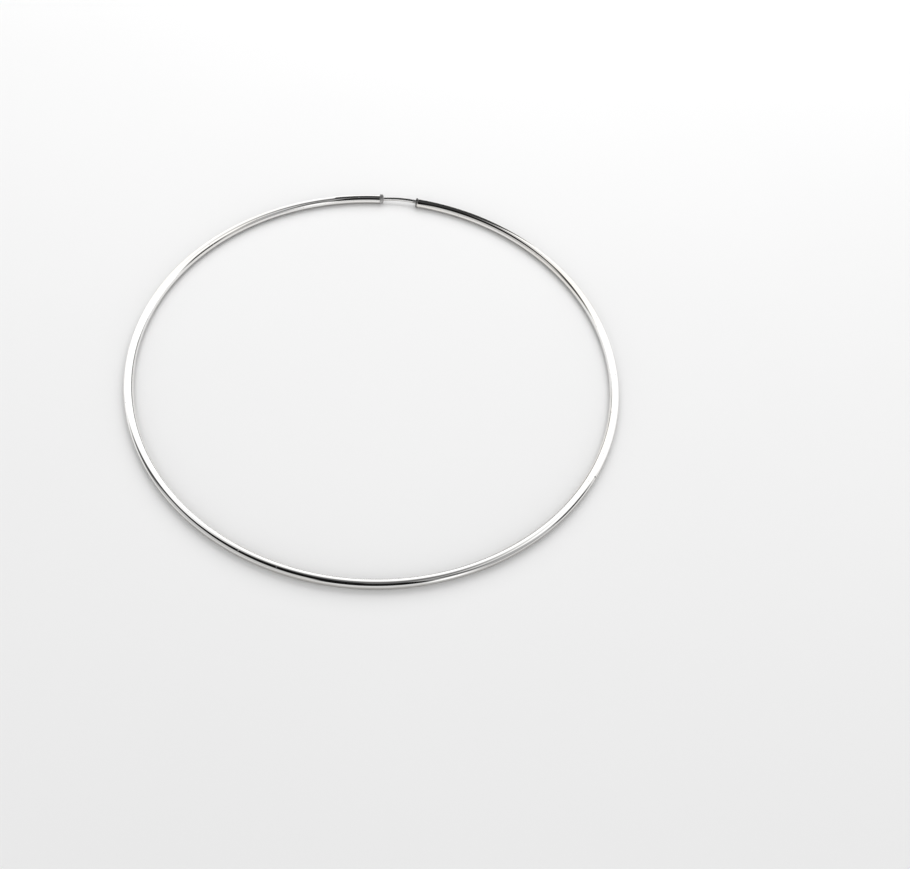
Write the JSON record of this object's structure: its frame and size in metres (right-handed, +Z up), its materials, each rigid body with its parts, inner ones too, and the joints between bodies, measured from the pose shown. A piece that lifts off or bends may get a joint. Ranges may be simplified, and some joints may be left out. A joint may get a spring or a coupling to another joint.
{
  "type": "hoop earring",
  "caption": "Thin endless hoop earring: a large polished hollow tube ring with a short gap, closed by a springy ear wire that slides into the open tube end.",
  "frame": {"origin": "centre of the hoop's circle, on the surface that the earring lies on", "axes": "+Z up, along the hoop's axis; the gap that the ear wire crosses is on the +Y side; the end with the soldered plug is on the -X side of the gap and the open catch end on the +X side"},
  "size_m": [0.075, 0.075, 0.0016],
  "materials": {
    "polished_silver_tube": "mirror-polished sterling silver with faint drawing lines, fine handling scratches and a few small pits",
    "silver_ear_wire": "drawn and lightly polished sterling silver, its soldered end plug a little softer in shine than the tube"
  },
  "bodies": {
    "root": {"hoop_tube": "polished_silver_tube", "ear_wire": "silver_ear_wire"}
  },
  "joints": []
}
